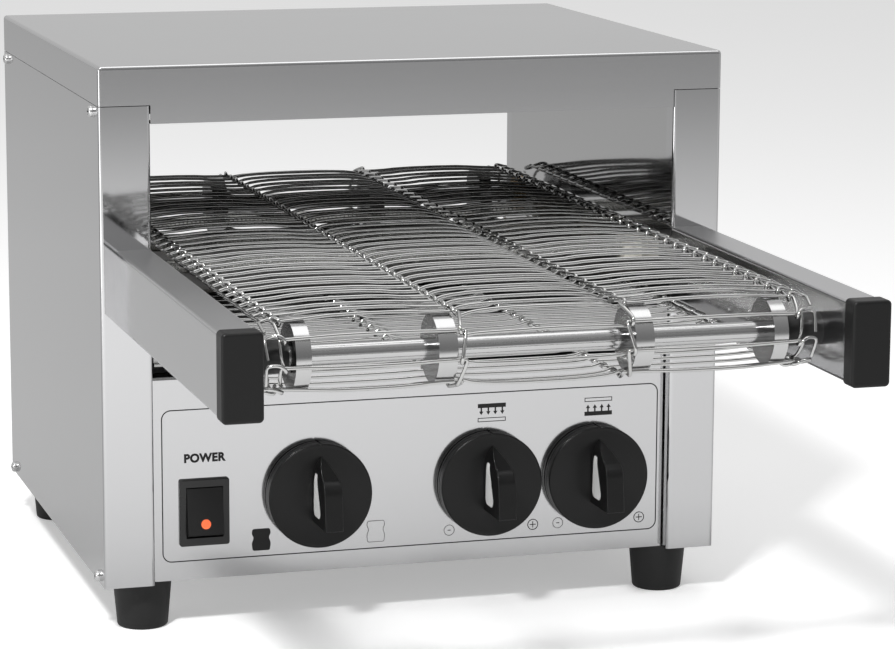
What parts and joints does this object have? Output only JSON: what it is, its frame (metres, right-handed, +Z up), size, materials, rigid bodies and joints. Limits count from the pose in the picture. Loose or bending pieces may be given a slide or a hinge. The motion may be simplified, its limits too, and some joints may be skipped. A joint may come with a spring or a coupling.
{
  "type": "conveyor toaster",
  "caption": "Countertop conveyor toaster: stainless case with a through tunnel, an endless wire belt running out between two rails, and a recessed panel with knobs and a rocker switch.",
  "frame": {"origin": "on the floor, under the middle of the whole length from the rail caps to the back", "axes": "+Z up, the rails, knobs and belt's loading end face -Y, +X to the right seen from the front"},
  "size_m": [0.4468, 0.6966, 0.389],
  "materials": {
    "case_steel": "satin",
    "polished_steel": "polished",
    "inner_sheet": "plain mill finish",
    "rail_steel": "satin",
    "belt_wire": "drawn wire",
    "roller_steel": "turned",
    "drive_steel": "oiled",
    "bush_plastic": "matt",
    "bush_bronze": "oiled bronze",
    "cap_plastic": "satin",
    "quartz": "clear",
    "ceramic": "unglazed ceramic",
    "mineral_wool": "felted",
    "motor_metal": "cast",
    "bracket_steel": "zinc plated",
    "screw_steel": "bright",
    "knob_plastic": "satin",
    "inlay_plastic": "gloss",
    "regulator_plastic": "matt",
    "switch_plastic": "gloss",
    "lens_plastic": "gloss",
    "gland_plastic": "matt",
    "terminal_plastic": "matt",
    "foot_rubber": "matt"
  },
  "bodies": {
    "toaster_case": {"hood": "case_steel", "side_panel_left": "case_steel", "side_panel_right": "case_steel", "control_panel": "case_steel", "rear_panel": "case_steel", "inner_wall_left": "polished_steel", "inner_wall_right": "polished_steel", "base_pan": "inner_sheet", "compartment_top": "inner_sheet", "exit_chute": "inner_sheet", "upper_reflector": "inner_sheet", "lower_reflector": "inner_sheet", "rail_left": "rail_steel", "rail_right": "rail_steel", "belt_upper_run": "belt_wire", "belt_lower_run": "belt_wire", "belt_front_turn": "belt_wire", "belt_rear_turn": "belt_wire", "drive_chain": "drive_steel", "idler_bearings": "bush_plastic", "drive_bearings": "bush_bronze", "rail_cap_left": "cap_plastic", "rail_cap_right": "cap_plastic", "upper_heating_tubes": "quartz", "lower_heating_tubes": "quartz", "upper_tube_holders": "ceramic", "lower_tube_holders": "ceramic", "insulation_blanket": "mineral_wool", "gearmotor": "motor_metal", "motor_bracket": "bracket_steel", "rail_bolts": "bracket_steel", "foot_screws": "bracket_steel", "case_screws": "screw_steel", "speed_regulator": "regulator_plastic", "top_heat_regulator": "regulator_plastic", "bottom_heat_regulator": "regulator_plastic", "switch_body": "switch_plastic", "cable_gland": "gland_plastic", "terminal_block": "terminal_plastic", "feet": "foot_rubber"},
    "drive_roller": {"drive_shaft": "roller_steel", "drive_discs": "roller_steel", "shaft_sprocket": "drive_steel"},
    "front_roller": {"idler_shaft": "roller_steel", "idler_discs": "roller_steel"},
    "motor_output": {"motor_shaft": "roller_steel", "motor_sprocket": "drive_steel"},
    "speed_control": {"speed_knob": "knob_plastic", "speed_knob_inlays": "inlay_plastic", "speed_shaft": "bracket_steel"},
    "top_heat_control": {"top_heat_knob": "knob_plastic", "top_heat_knob_inlays": "inlay_plastic", "top_heat_shaft": "bracket_steel"},
    "bottom_heat_control": {"bottom_heat_knob": "knob_plastic", "bottom_heat_knob_inlays": "inlay_plastic", "bottom_heat_shaft": "bracket_steel"},
    "power_rocker": {"switch_rocker": "switch_plastic", "switch_lens": "lens_plastic"},
    "tray": {"crumb_tray": "inner_sheet"}
  },
  "joints": [
    {"name": "drive_spin", "type": "hinge", "parent": "toaster_case", "child": "drive_roller", "pos_m": [0, 0.3163, 0.2415], "axis": [1, 0, 0], "continuous": true},
    {"name": "front_roller_spin", "type": "hinge", "parent": "toaster_case", "child": "front_roller", "pos_m": [0, -0.2927, 0.2415], "axis": [1, 0, 0], "continuous": true},
    {"name": "motor_spin", "type": "hinge", "parent": "toaster_case", "child": "motor_output", "pos_m": [0.2025, 0.2583, 0.109], "axis": [1, 0, 0], "continuous": true},
    {"name": "speed_turn", "type": "hinge", "parent": "toaster_case", "child": "speed_control", "pos_m": [-0.069, -0.0217, 0.0894], "axis": [0, 1, 0], "range_deg": [-135, 135]},
    {"name": "top_heat_turn", "type": "hinge", "parent": "toaster_case", "child": "top_heat_control", "pos_m": [0.05432, -0.0217, 0.0894], "axis": [0, 1, 0], "range_deg": [-135, 135]},
    {"name": "bottom_heat_turn", "type": "hinge", "parent": "toaster_case", "child": "bottom_heat_control", "pos_m": [0.13301, -0.0217, 0.0894], "axis": [0, 1, 0], "range_deg": [-135, 135]},
    {"name": "power_press", "type": "hinge", "parent": "toaster_case", "child": "power_rocker", "pos_m": [-0.14874, -0.0199, 0.0812], "axis": [1, 0, 0], "range_deg": [0, 20]},
    {"name": "tray_slide", "type": "slide", "parent": "toaster_case", "child": "tray", "axis": [0, -1, 0], "range_m": [0, 0.25]}
  ],
  "couplings": [
    {"joint": "front_roller_spin", "follows": "drive_spin", "ratio": 1},
    {"joint": "motor_spin", "follows": "drive_spin", "ratio": 1.6667}
  ]
}
